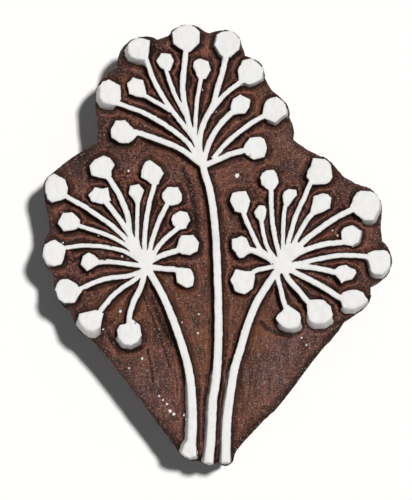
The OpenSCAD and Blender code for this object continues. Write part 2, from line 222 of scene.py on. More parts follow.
@dataclass(frozen=True)
class BroadFlank:
    """A stretch of the relief whose flank is cut flatter, and carries paint, on one side.

    Attributes:
        place: middle of the stretch on the pattern sheet, in squares.
        reach: radius round it, in mm.
        heading: direction that the flank faces, in degrees from +X.
        width: how much farther than elsewhere the flank's foot stands out, in mm.
        paint: share of the flank that the paint runs down.
        ahead: how far out along the heading it starts, as a share of the reach.
    """

    place: tuple[float, float]
    reach: float
    heading: float
    width: float
    paint: float = 0.85
    ahead: float = 0.35

    def share(self, place: Vector, normal: Vector) -> float:
        """How much of this flank a point of the outline has, from 0 to 1."""
        offset = (place - on_block(*self.place)).to_2d()
        near = ease(offset.length, self.reach * 1.15, self.reach * 0.8)
        facing = Vector((math.cos(math.radians(self.heading)), math.sin(math.radians(self.heading))))
        out = ease(offset.dot(facing) / self.reach, self.ahead - 0.25, self.ahead)
        return near * out * ease(normal.to_2d().dot(facing), 0.05, 0.65)


# The value of ahead for a flank that runs along a stem, with no bud to be in front of.
ALONG = -1.0
BROAD_FLANKS = (
    BroadFlank((110, 93), 4.2, 215, 0.75),
    BroadFlank((138, 50), 4.4, 235, 0.75),
    BroadFlank((228, 45), 4.6, 215, 0.2, 0.5),
    BroadFlank((251, 72), 4.4, 285, 0.3, 0.6),
    BroadFlank((276, 111), 4.6, 300, 0.3, 0.6),
    BroadFlank((92, 322), 4.6, 250, 1.1),
    BroadFlank((130, 334), 4.2, 265, 0.55),
    BroadFlank((366, 206), 5.2, 315, 0.5),
    BroadFlank((350, 236), 3.6, 350, 0.25, 0.5),
    BroadFlank((379, 263), 4.2, 280, 0.5),
    BroadFlank((379, 263), 4.2, 190, 0.35, 0.4),
    BroadFlank((353, 300), 4.6, 285, 0.75),
    BroadFlank((319, 313), 4.6, 262, 0.9),
    BroadFlank((289, 320), 4.2, 272, 0.7),
    BroadFlank((48, 251), 4.2, 245, 0.3, 0.4),
    BroadFlank((188, 420), 9.5, 180, 0.35, 0.9, ALONG),
    BroadFlank((206, 440), 9.0, 180, 0.45, 0.9, ALONG),
    BroadFlank((211, 400), 5.0, 180, 0.3, 0.8, ALONG),
    BroadFlank((224, 445), 8.0, 180, 0.25, 0.8, ALONG),
    BroadFlank((228, 400), 8.0, 180, 0.25, 0.8, ALONG),
    BroadFlank((188, 455), 3.0, 250, 0.45, 0.8, ALONG),
    BroadFlank((211, 464), 3.4, 265, 0.4, 0.8, ALONG),
    BroadFlank((227, 464), 3.0, 270, 0.4, 0.5, ALONG),
)


@dataclass(frozen=True)
class KnifeCut:
    """A thin cut in the ground or in the relief, along points of the pattern sheet, drawn near-black as painted
    shade.
    """

    points: tuple[tuple[float, float], ...]
    width: float = 0.45
    depth: float = 0.9

    def share(self, place: Vector) -> float:
        """How deep in the cut a point lies, from 0 to 1."""
        corners = [on_block(*p).to_2d() for p in self.points]
        here = place.to_2d()
        best = 1e9
        for a, b in zip(corners, corners[1:]):
            along = b - a
            t = min(1.0, max(0.0, (here - a).dot(along) / along.length_squared))
            best = min(best, (here - a - along * t).length)
        return math.exp(-((best / self.width) ** 2))


KNIFE_CUTS = (
    KnifeCut(((261, 323), (267, 329), (276, 333.5), (290, 337)), 0.5, 1.0),
    KnifeCut(((108, 333), (112, 342), (119, 350), (129, 352), (140, 349)), 0.6, 1.1),
    KnifeCut(((152, 300), (158, 314), (166, 330), (173, 345)), 1.0, 1.2),
    KnifeCut(((199, 108), (203, 120)), 0.4, 0.4),
    KnifeCut(((85, 253), (80, 258), (72, 262)), 0.4, 0.6),
    KnifeCut(((183, 170), (190, 186), (194, 208), (197, 240)), 0.7, 0.7),
    KnifeCut(((147, 350), (151, 366), (153, 382)), 0.3, 0.5),
    KnifeCut(((143, 296), (160, 338), (170, 368)), 0.3, 0.4),
    KnifeCut(((249, 440), (253, 433), (262, 430)), 0.35, 0.5),
)


@dataclass(frozen=True)
class Patch:
    """A soft spot of another tone on the stained ground."""

    place: tuple[float, float]
    reach: float
    strength: float = 1.0

    def share(self, place: Vector) -> float:
        """How much of the patch a point has, from 0 to 1."""
        away = (place - on_block(*self.place)).to_2d().length
        return self.strength * math.exp(-((away / self.reach) ** 2))


WARM_PATCHES = (
    Patch((255, 95), 3.0),
    Patch((280, 146), 3.2),
    Patch((112, 318), 5.0),
    Patch((150, 312), 5.0),
    Patch((165, 285), 3.5, 0.8),
    Patch((182, 313), 4.5),
    Patch((200, 355), 6.0),
    Patch((196, 318), 4.5, 0.9),
    Patch((236, 325), 5.5, 0.9),
    Patch((252, 318), 5.0, 0.9),
    Patch((262, 340), 4.5, 0.7),
    Patch((250, 425), 4.5, 0.8),
    Patch((254, 402), 5.0, 0.6),
    Patch((243, 178), 5.0, 0.5),
    Patch((170, 160), 5.0, 0.4),
    Patch((120, 375), 6.0, 0.35),
)

DUSTY_PATCHES = (
    Patch((287, 140), 3.4),
    Patch((152, 400), 6.5, 0.9),
    Patch((140, 384), 4.5, 0.7),
    Patch((285, 362), 6.5, 0.8),
    Patch((304, 340), 5.0, 0.7),
    Patch((268, 385), 6.0, 0.6),
    Patch((262, 372), 5.0, 0.5),
    Patch((320, 158), 3.0, 0.6),
    Patch((378, 218), 3.0, 0.9),
    Patch((384, 282), 3.0, 0.5),
    Patch((300, 370), 5.0, 0.6),
)

# Spots where the ground is drawn darker, towards near-black.
DARK_PATCHES = (
    Patch((84, 158), 4.0),
    Patch((114, 138), 3.2),
    Patch((155, 48), 2.2),
    Patch((101, 332), 3.0, 0.8),
    Patch((163, 335), 3.0, 0.8),
    Patch((246, 382), 3.5, 0.6),
    Patch((118, 70), 2.0, 0.8),
    Patch((62, 232), 3.0, 0.6),
)

SPOTS = {"cut": KNIFE_CUTS, "warm": WARM_PATCHES, "dusty": DUSTY_PATCHES, "dark": DARK_PATCHES}


@dataclass(frozen=True)
class OutlinePoint:
    """What the carver's cut does at one point of the relief's outline."""

    place: Vector
    normal: Vector
    gap: float
    flank: float
    paint: float
    broad: float


@dataclass
class CarvedBlock:
    """The slab of wood with the pattern standing on its carved ground.

    Sizes are in mm. The outlines and the two levels come from the CAD solid.
    """

    ground_edge: float = 0.62
    side_edge: float = 1.9
    back_edge: float = 9.0
    rows: tuple[float, ...] = (0.3, 0.62, 0.86, 1.0)
    flank: float = 0.42
    drop_by_gap: float = 1.55
    least_drop: float = 0.7
    groove_drop: float = 5.5
    ridge_rise: float = 0.95
    rim_fall: float = 0.7
    chamfer_start: float = 0.42
    knife_marks: float = 0.09
    gouge_marks: float = 0.16
    open_lumps: float = 0.35
    chatter: float = 0.07
    furthest_gap: float = 14.0
    largest_hole: int = 8
    face_z: float = field(init=False)
    ground_z: float = field(init=False)
    outline: list[OutlinePoint] = field(init=False, default_factory=list)
    feet: list[tuple[Vector, float, float]] = field(init=False, default_factory=list)
    finder: KDTree = field(init=False)
    foot_finder: KDTree = field(init=False)
    rim: KDTree = field(init=False)
    surface: BVHTree = field(init=False)

    def __post_init__(self) -> None:
        """Reads the levels of the relief and the ground from the CAD node."""
        self.face_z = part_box("printing_block")[1].z / MM
        levels = sorted({round(v.co.z / MM, 2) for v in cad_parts["printing_block"].data.vertices})
        self.ground_z = levels[-2]

    def build(self) -> bpy.types.Object:
        """Carves the block.

        Returns:
            The finished piece, which stands for the CAD node printing_block.
        """
        bm = mesh_of("printing_block")
        self._level(bm)
        split_long(bm, self._edge_limit)
        self._even(bm, 3)
        self._read_outline(bm)
        self._raise_relief(bm)
        self._shape_flanks(bm)
        self._even(bm, 14)
        self._carve_ground(bm)
        self._cut_sides(bm)
        bmesh.ops.holes_fill(bm, edges=bm.edges, sides=self.largest_hole)
        bm.normal_update()
        self.surface = BVHTree.FromBMesh(bm)
        marks = self._marks(bm)
        for face in bm.faces:
            face.material_index = 0
        obj = finish_mesh(bm, "carved_block", 50)
        for name, values in marks.items():
            add_attribute(obj, name, values)
        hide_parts("printing_block")
        return obj

    def _level(self, bm: bmesh.types.BMesh) -> None:
        """Names the zones, takes the relief's walls away and lays its tops down on the ground's level."""
        bm.normal_update()
        walls = []
        for face in bm.faces:
            low = min(v.co.z for v in face.verts)
            if face.normal.z > 0.9 and low > self.face_z - 0.01:
                face.material_index = Zone.RELIEF
            elif face.normal.z > 0.9 and abs(low - self.ground_z) < 0.01:
                face.material_index = Zone.GROUND
            elif abs(face.normal.z) < 0.1 and low > self.ground_z - 0.01:
                walls.append(face)
            elif abs(face.normal.z) < 0.1 and max(v.co.z for v in face.verts) > self.ground_z - 0.01:
                face.material_index = Zone.SIDE
            else:
                face.material_index = Zone.BACK
        bmesh.ops.delete(bm, geom=walls, context="FACES")
        for vert in bm.verts:
            if vert.co.z > self.face_z - 0.01:
                vert.co.z = self.ground_z
        bmesh.ops.remove_doubles(bm, verts=bm.verts, dist=MERGE)

    def _edge_limit(self, edge: bmesh.types.BMEdge) -> float:
        """The longest edge that a zone may have, and the finer of two zones' on the line between them."""
        by_zone = {
            Zone.GROUND: self.ground_edge,
            Zone.RELIEF: 3.0,
            Zone.SIDE: self.side_edge,
            Zone.BACK: self.back_edge,
        }
        return min((by_zone[Zone(f.material_index)] for f in edge.link_faces), default=self.back_edge)

    def _even(self, bm: bmesh.types.BMesh, rounds: int) -> None:
        """Evens out the ground's triangles without moving an outline."""
        inner = []
        for vert in bm.verts:
            zones = {f.material_index for f in vert.link_faces}
            if zones == {int(Zone.GROUND)}:
                inner.append(vert)
        for _ in range(rounds):
            bmesh.ops.smooth_vert(
                bm, verts=inner, factor=0.5, use_axis_x=True, use_axis_y=True, use_axis_z=False
            )

    def _curtain(self, bm: bmesh.types.BMesh, first: Zone, second: Zone) -> BVHTree:
        """Upright strips along the line between two zones, for measuring gaps across the ground."""
        corners, strips = [], []
        for edge in bm.edges:
            if edge_between(edge, first, second):
                a, b = (v.co for v in edge.verts)
                start = len(corners)
                corners += [a - UP, b - UP, b + UP, a + UP]
                strips.append((start, start + 1, start + 2, start + 3))
        return BVHTree.FromPolygons(corners, strips)

    def _read_outline(self, bm: bmesh.types.BMesh) -> None:
        """Measures the room beside every point of the relief's outline and settles its flank there."""
        relief = self._curtain(bm, Zone.GROUND, Zone.RELIEF)
        rim = self._curtain(bm, Zone.GROUND, Zone.SIDE)
        sides: dict[int, list[Vector]] = {}
        neighbours: dict[int, list[tuple[int, float]]] = {}
        places: dict[int, Vector] = {}
        bm.verts.index_update()
        for edge in bm.edges:
            if edge_between(edge, Zone.GROUND, Zone.RELIEF):
                a, b = edge.verts
                normal = flat_normal(edge, Zone.RELIEF)
                for vert, other in ((a, b), (b, a)):
                    sides.setdefault(vert.index, []).append(normal)
                    neighbours.setdefault(vert.index, []).append((other.index, edge.calc_length()))
                    places[vert.index] = vert.co.copy()
        gaps = {}
        room = {}
        for index, normals in sides.items():
            mean = sum(normals, Vector()).normalized()
            gaps[index] = min(self._free(relief, places[index], n) for n in [*normals, mean])
            room[index] = self._free(rim, places[index], mean)
        for _ in range(12):
            for index, near in neighbours.items():
                gaps[index] = min([gaps[index]] + [gaps[other] + 1.1 * length for other, length in near])
        for index, normals in sides.items():
            place, normal = places[index], sum(normals, Vector()).normalized()
            broad = max(f.share(place, normal) * f.width for f in BROAD_FLANKS)
            paint = max(f.share(place, normal) * f.paint for f in BROAD_FLANKS)
            flank = self.flank * (1 + 0.5 * layered(place, 3.0)) + broad
            flank = min(flank, 0.34 * gaps[index], 0.85 * room[index])
            share = min(1.0, broad)
            self.outline.append(OutlinePoint(place, normal, gaps[index], flank, paint, share))
        self.finder = KDTree(len(self.outline))
        for number, point in enumerate(self.outline):
            self.finder.insert(point.place, number)
        self.finder.balance()

    def _free(self, curtain: BVHTree, place: Vector, heading: Vector) -> float:
        """The free length across the ground from a point of an outline, up to the furthest gap."""
        length = curtain.ray_cast(place + heading * 0.01, heading, self.furthest_gap)[3]
        return self.furthest_gap if length is None else length

    def _raise_relief(self, bm: bmesh.types.BMesh) -> None:
        """Extrudes the relief out of the ground, one row of its flanks after another."""
        below = 0.0
        height = self.face_z - self.ground_z
        for share in self.rows:
            tops = [f for f in bm.faces if f.material_index == Zone.RELIEF and f.normal.z > 0.9]
            raised = bmesh.ops.extrude_face_region(bm, geom=tops)["geom"]
            verts = [g for g in raised if isinstance(g, bmesh.types.BMVert)]
            bmesh.ops.delete(bm, geom=tops, context="FACES")
            bmesh.ops.translate(bm, verts=verts, vec=(0, 0, (share - below) * height))
            below = share
            bm.normal_update()

    def drop_at(self, point: OutlinePoint) -> float:
        """How far below the face the relief's foot lies: less where the gap is too narrow for the gouge."""
        lump = 0.25 * layered(point.place, 5.0)
        return min(self.groove_drop + lump, self.least_drop + self.drop_by_gap * point.gap)

    def _shape_flanks(self, bm: bmesh.types.BMesh) -> None:
        """Gives the relief's flanks their slope, depth and knife marks."""
        height = self.face_z - self.ground_z
        for vert in bm.verts:
            zones = {f.material_index for f in vert.link_faces}
            if Zone.RELIEF not in zones:
                continue
            _, number, away = self.finder.find(Vector((vert.co.x, vert.co.y, self.ground_z)))
            if away > 0.002:
                vert.co.z = self.face_z
                continue
            point = self.outline[number]
            share = (vert.co.z - self.ground_z) / height
            slope = 1 - share
            chamfer = min(1.0, slope / self.chamfer_start)
            reach = point.flank * (slope + (chamfer - slope) * point.broad)
            stroke = layered(Vector((vert.co.x, vert.co.y, share * 1.2)), 1.1, 2)
            knife = self.knife_marks * stroke * min(1.0, 4 * slope)
            reach = max(0.0, reach + knife) if point.gap > 0.8 else reach
            drop = self.drop_at(point)
            reach -= TRIM * share
            vert.co += point.normal * reach + CUT_WOBBLE(point.place)
            vert.co.z = self.face_z - drop * slope
            if share < 0.01:
                self.feet.append((vert.co.copy(), drop, max(0.2, point.gap - 2 * point.flank)))
        self.foot_finder = KDTree(len(self.feet))
        for number, foot in enumerate(self.feet):
            self.foot_finder.insert(Vector((foot[0].x, foot[0].y, 0)), number)
        self.foot_finder.balance()

    def ground_at(self, place: Vector) -> tuple[float, float]:
        """The carved ground's height at a point of the block, and the way from there to the relief's foot."""
        here = Vector((place.x, place.y, 0))
        near = self.foot_finder.find_n(here, 3)
        weights = [1 / (0.05 + away) for _, _, away in near]
        total = sum(weights)
        drop = sum(w * self.feet[n][1] for w, (_, n, _) in zip(weights, near)) / total
        gap = sum(w * self.feet[n][2] for w, (_, n, _) in zip(weights, near)) / total
        away = near[0][2]
        half = min(1.5, 0.5 * gap)
        rise = min(self.ridge_rise, 0.55 * gap) * ease(away, 0.08, half)
        stroke = layered(Vector((place.x * 0.12, place.y * 0.12, away * 1.25)), 1.0, 2)
        gouge = self.gouge_marks * stroke * ease(away, 0.1, 1.0)
        open_share = ease(away, 1.6, 4.0)
        lump = open_share * self.open_lumps * layered(Vector((place.x, place.y * 0.5, 7.0)), 7.0)
        chatter = self.chatter * layered(Vector((place.x, place.y * 0.6, 3.0)), 0.9, 2)
        return self.face_z - drop + rise + gouge + lump + chatter, away

    def _carve_ground(self, bm: bmesh.types.BMesh) -> None:
        """Carves the ground between the relief's feet and the block's rim."""
        rim = KDTree(len(bm.verts))
        on_rim = set()
        for vert in bm.verts:
            zones = {f.material_index for f in vert.link_faces}
            if Zone.GROUND in zones and Zone.SIDE in zones:
                on_rim.add(vert.index)
                rim.insert(Vector((vert.co.x, vert.co.y, 0)), vert.index)
        rim.balance()
        self.rim = rim
        for vert in bm.verts:
            zones = {f.material_index for f in vert.link_faces}
            if Zone.GROUND not in zones or Zone.RELIEF in zones:
                continue
            flat = Vector((vert.co.x, vert.co.y, 0))
            height, _ = self.ground_at(flat)
            to_rim = 0.0 if vert.index in on_rim else rim.find(flat)[2]
            height -= self._rim_fall(flat, to_rim)
            height -= sum(c.share(flat) * c.depth for c in KNIFE_CUTS)
            vert.co.z = height

    def _rim_fall(self, place: Vector, to_rim: float) -> float:
        """How far the ground falls off towards the block's rim, which is broader along the lower right."""
        sloped = ease(place.x - place.y, 22, 40) * ease(place.y, -8, -18)
        width = 0.45 + 1.2 * sloped
        depth = self.rim_fall * (1 + 0.5 * layered(place, 4.0)) + 1.3 * sloped
        return depth * math.exp(-((to_rim / width) ** 2))

    def _cut_sides(self, bm: bmesh.types.BMesh) -> None:
        """Gives the block's sides the marks of the chisel that cut them."""
        bm.normal_update()
        moves = []
        for vert in bm.verts:
            if not any(f.material_index == Zone.SIDE for f in vert.link_faces):
                continue
            normal = Vector((0, 0, 0))
            for face in vert.link_faces:
                if face.material_index == Zone.SIDE:
                    normal += face.normal
            normal.z = 0
            place = vert.co
            stroke = layered(Vector((place.x, place.y, place.z * 0.12)), 1.5, 3)
            nick = layered(Vector((place.x, place.y, place.z * 0.5)), 0.7, 2)
            moves.append((vert, normal.normalized() * (0.13 * stroke + 0.05 * nick - 0.06)))
        for vert, move in moves:
            vert.co += move

    def _marks(self, bm: bmesh.types.BMesh) -> dict[str, list[float]]:
        """Numbers that the block's material reads at every vertex, for its stain, its paint and its painted
        shade.

        Args:
            bm: the carved mesh.

        Returns:
            Lists in the order of the vertices, by attribute name.
        """
        names = ("edge", "paint", "cut", "warm", "dusty", "dark", "hollow", "rim")
        marks: dict[str, list[float]] = {n: [] for n in names}
        for vert in bm.verts:
            flat = Vector((vert.co.x, vert.co.y, 0))
            zones = {f.material_index for f in vert.link_faces}
            top = Zone.GROUND in zones or Zone.RELIEF in zones
            paint = 0.0
            away = 4.0
            if Zone.RELIEF in zones:
                _, number, _ = self.finder.find(Vector((flat.x, flat.y, self.ground_z)))
                point = self.outline[number]
                down = (self.face_z - vert.co.z) / self.drop_at(point)
                limit = 0.12 + point.paint * 0.8
                paint = ease(down, limit + 0.12, limit - 0.12)
                away = 0.0
            elif top:
                away = self.foot_finder.find(flat)[2]
            around = [e.other_vert(vert).co.z for e in vert.link_edges]
            # How far a vertex lies below its neighbours, which the material turns into painted shade in hollows
            # and painted highlight on ridges.
            hollow = sum(around) / len(around) - vert.co.z if top and away > 0 else 0.0
            marks["edge"].append(away)
            marks["paint"].append(paint)
            for name, spots in SPOTS.items():
                marks[name].append(min(1.0, sum(s.share(flat) for s in spots)) if top else 0.0)
            marks["hollow"].append(hollow)
            marks["rim"].append(min(8.0, self.rim.find(flat)[2]) if top else 0.0)
        return marks


@dataclass
class FlowerCoat:
    """The paint on the face of one flower. Sizes are in mm."""

    name: str
    node: str
    edge: float = 0.33
    inner_edge: float = 1.3
    lip: float = 0.06
    wall_share: float = 0.6
    rim_share: float = 0.32

    def build(self) -> bpy.types.Object:
        """Lays the paint.

        Returns:
            The piece, which stands for its CAD node.
        """
        bm = mesh_of(self.node)
        bm.normal_update()
        low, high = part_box(self.node)
        base, top = low.z / MM, high.z / MM
        bmesh.ops.delete(bm, geom=[f for f in bm.faces if f.normal.z > -0.9], context="FACES")
        bmesh.ops.reverse_faces(bm, faces=bm.faces)
        bm.normal_update()
        split_long(bm, self._edge_limit)
        bm.normal_update()
        moves = []
        for vert in bm.verts:
            border = [e for e in vert.link_edges if e.is_boundary]
            outward = sum((flat_normal(e, e.link_faces[0].material_index) for e in border), Vector())
            moves.append(CUT_WOBBLE(vert.co) - outward.normalized() * TRIM)
        for vert, move in zip(bm.verts, moves):
            vert.co += move
        under = list(bm.faces)
        skin = bmesh.ops.extrude_face_region(bm, geom=under, use_keep_orig=True)["geom"]
        raised = [g for g in skin if isinstance(g, bmesh.types.BMFace)]
        bmesh.ops.reverse_faces(bm, faces=under)
        verts = {v for f in raised for v in f.verts}
        bmesh.ops.translate(bm, verts=list(verts), vec=(0, 0, (top - base) * self.wall_share))
        bm.normal_update()
        rim_rise = (top - base) * self.rim_share
        bmesh.ops.inset_region(bm, faces=raised, thickness=self.lip, depth=rim_rise, use_even_offset=False)
        bmesh.ops.recalc_face_normals(bm, faces=bm.faces)
        obj = finish_mesh(bm, self.name, 60)
        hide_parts(self.node)
        return obj

    def _edge_limit(self, edge: bmesh.types.BMEdge) -> float:
        """Short edges along the outline, longer ones inside."""
        return self.edge if edge.is_boundary else self.inner_edge


@dataclass(frozen=True)
class Fleck:
    """A chip of paint on the ground: its place on the pattern sheet, and its radius in mm."""

    place: tuple[float, float]
    radius: float = 0.3


FLECKS = (
    Fleck((237, 176), 0.7),
    Fleck((202.5, 90), 0.4),
    Fleck((128, 171), 0.4),
    Fleck((120, 312), 0.4),
    Fleck((103, 330), 0.35),
    Fleck((98.5, 236.5), 0.35),
    Fleck((62.5, 243)),
    Fleck((122, 257), 0.35),
    Fleck((142, 359.5), 0.35),
    Fleck((170, 412), 0.6),
    Fleck((174, 415), 0.5),
    Fleck((159, 397)),
    Fleck((163, 401)),
    Fleck((167, 405), 0.35),
    Fleck((186, 395.5)),
    Fleck((184, 416), 0.35),
    Fleck((186, 420), 0.35),
    Fleck((129, 369)),
    Fleck((302, 338.5)),
    Fleck((306.5, 346)),
    Fleck((216, 112)),
    Fleck((198, 334)),
    Fleck((199, 315)),
    Fleck((182, 323)),
    Fleck((333, 231)),
    Fleck((338, 236)),
    Fleck((329, 277)),
    Fleck((197, 453.5), 0.8),
)


@dataclass(frozen=True)
class PaintFlecks:
    """Chips of paint that fell on the carved ground. Sizes are in mm."""

    corners: int = 7
    thick: float = 0.22
    ragged: float = 0.3
    seed: int = 11

    def build(self, surface: BVHTree) -> bpy.types.Object:
        """Lays each chip on the ground under its place.

        Args:
            surface: the carved block, in mm.

        Returns:
            The piece, with every chip in it.
        """
        bm = bmesh.new()
        draw = random.Random(self.seed)
        for fleck in FLECKS:
            point, normal, _, _ = surface.ray_cast(on_block(*fleck.place) + UP * 60, -UP)
            turn = normal.to_track_quat("Z", "Y").to_matrix().to_4x4()
            chip = bmesh.ops.create_cone(
                bm,
                cap_ends=True,
                segments=self.corners,
                radius1=fleck.radius,
                radius2=fleck.radius * 0.7,
                depth=self.thick,
                matrix=Matrix.Translation(point) @ turn,
            )
            for vert in chip["verts"]:
                vert.co += (vert.co - point) * draw.uniform(-self.ragged, self.ragged)
        bmesh.ops.recalc_face_normals(bm, faces=bm.faces)
        obj = finish_mesh(bm, "paint_flecks", None)
        return obj


@dataclass(frozen=True)
class HandleBar:
    """The bar that the hand holds, with its faces a little uneven from the knife. Sizes are in mm."""

    edge: float = 2.2
    unevenness: float = 0.07
    lump: float = 6.0

    def build(self) -> bpy.types.Object:
        """Shapes the bar and keeps its two flat ends flat.

        Returns:
            The piece, which stands for the CAD node handle.
        """
        bm = mesh_of("handle")
        low, high = (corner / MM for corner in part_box("handle"))
        for heading in (Vector((0, 1, 0)), UP):
            for number in range(1, int((high - low).dot(heading) / self.edge)):
                cut = low + heading * number * self.edge
                everything = [*bm.verts, *bm.edges, *bm.faces]
                bmesh.ops.bisect_plane(bm, geom=everything, dist=0.01, plane_co=cut, plane_no=heading)
        bmesh.ops.triangulate(bm, faces=bm.faces)
        bm.normal_update()
        moves = []
        for vert in bm.verts:
            level = Vector((vert.normal.x, vert.normal.y, 0))
            if level.length > 0.9:
                moves.append((vert, level * layered(vert.co, self.lump) * self.unevenness))
        for vert, move in moves:
            vert.co += move
        obj = finish_mesh(bm, "handle_bar", 35)
        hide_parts("handle")
        return obj


@dataclass(frozen=True)
class GlueLip:
    """The glue between handle and block, squeezed out unevenly along its edge. Sizes are in mm."""

    edge: float = 0.8
    squeeze: float = 0.45
    lump: float = 3.0

    def build(self) -> bpy.types.Object:
        """Pushes the film's edge out.

        Returns:
            The piece, which stands for the CAD node glue_line.
        """
        bm = mesh_of("glue_line")
        low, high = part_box("glue_line")
        middle = (low + high) / 2 / MM
        half = (high - low) / 2 / MM
        split_long(bm, lambda edge: self.edge if edge.calc_face_angle(0.0) > 0.5 else 4.0)
        for vert in bm.verts:
            reach = max(abs(vert.co.x - middle.x) - half.x, abs(vert.co.y - middle.y) - half.y)
            if reach < -0.01:
                continue
            away = Vector((vert.co.x - middle.x, vert.co.y - middle.y, 0)).normalized()
            flat = Vector((vert.co.x, vert.co.y, 0))
            vert.co += away * self.squeeze * max(0.1, 0.5 + layered(flat, self.lump))
        obj = finish_mesh(bm, "glue_lip", 40)
        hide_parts("glue_line")
        return obj


@dataclass(frozen=True)
class HandleScrews:
    """The two screws that hold the handle, shaded smooth where they are turned."""

    smooth_deg: float = 35.0

    def build(self) -> bpy.types.Object:
        """Copies the CAD screws.

        Returns:
            The piece, which stands for the CAD node handle_screws.
        """
        obj = finish_mesh(mesh_of("handle_screws"), "wood_screws", self.smooth_deg)
        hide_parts("handle_screws")
        return obj


@dataclass
class Studio:
    """Pale floor, soft light and the camera over the stamp."""

    view_mid: tuple[float, float] = (206, 251.3)
    view_height: float = 40.0
    tilt_deg: float = 2.5
    lens: float = 400.0
    sensor: float = 36.0
    sun_strength: float = 2.95
    sun_deg: float = 2.6
    sun_from: tuple[float, float, float] = (0.151, 0.073, 0.986)
    fill: float = 0.075
    floor_glow: float = 0.02
    floor_half: float = 1.5

    def build(self) -> None:
        """Makes the floor, the light and the camera."""
        self._camera()
        self._light()
        self._floor()

    def _camera(self) -> None:
        """A long lens, nearly straight above, with the stamp where the photograph has it."""
        data = bpy.data.cameras.new("camera")
        data.lens = self.lens
        data.sensor_width = self.sensor
        camera = bpy.data.objects.new("camera", data)
        bpy.context.scene.collection.objects.link(camera)
        middle = (on_block(*self.view_mid) + UP * self.view_height) * MM
        away = SHEET_HEIGHT * SQUARE * MM * self.lens / self.sensor
        tilt = math.radians(self.tilt_deg)
        camera.location = middle + Vector((0, -math.sin(tilt), math.cos(tilt))) * away
        camera.rotation_euler = (tilt, 0, 0)
        bpy.context.scene.camera = camera

    def _light(self) -> None:
        """One soft sun from the upper right and an even pale sky."""
        data = bpy.data.lights.new("sun", "SUN")
        data.energy = self.sun_strength
        data.angle = math.radians(self.sun_deg)
        data.color = (1.0, 0.985, 0.96)
        sun = bpy.data.objects.new("sun", data)
        sun.rotation_mode = "QUATERNION"
        sun.rotation_quaternion = Vector(self.sun_from).to_track_quat("Z", "Y")
        bpy.context.scene.collection.objects.link(sun)
        world = bpy.data.worlds.new("sky")
        world.use_nodes = True
        sheet = NodeSheet(world.node_tree)
        path = sheet.add("ShaderNodeLightPath")
        seen = sheet.calc("MAXIMUM", path.outputs["Is Camera Ray"], path.outputs["Is Glossy Ray"])
        seen = sheet.calc("MAXIMUM", seen, path.outputs["Is Transmission Ray"])
        back = world.node_tree.nodes["Background"]
        strength = sheet.calc("ADD", sheet.calc("MULTIPLY", seen, 1 - self.fill), self.fill)
        world.node_tree.links.new(strength, back.inputs["Strength"])
        back.inputs["Color"].default_value = (0.93, 0.96, 1.0, 1.0)
        bpy.context.scene.world = world

    def _floor(self) -> None:
        """A white table top that keeps the stamp's shadow."""
        bm = bmesh.new()
        bmesh.ops.create_grid(bm, x_segments=2, y_segments=2, size=self.floor_half)
        mesh = bpy.data.meshes.new("floor")
        bm.to_mesh(mesh)
        bm.free()
        floor = bpy.data.objects.new("floor", mesh)
        floor.location.z = -0.00005
        bpy.context.scene.collection.objects.link(floor)
        material, sheet, shader = new_material("pale_floor")
        shader.inputs["Base Color"].default_value = (1, 1, 1, 1)
        shader.inputs["Roughness"].default_value = 0.9
        path = sheet.add("ShaderNodeLightPath")
        glow = sheet.calc("MULTIPLY", path.outputs["Is Camera Ray"], self.floor_glow)
        sheet.link(glow, shader.inputs["Emission Strength"])
        shader.inputs["Emission Color"].default_value = (1, 1, 1, 1)
        floor.data.materials.append(material)


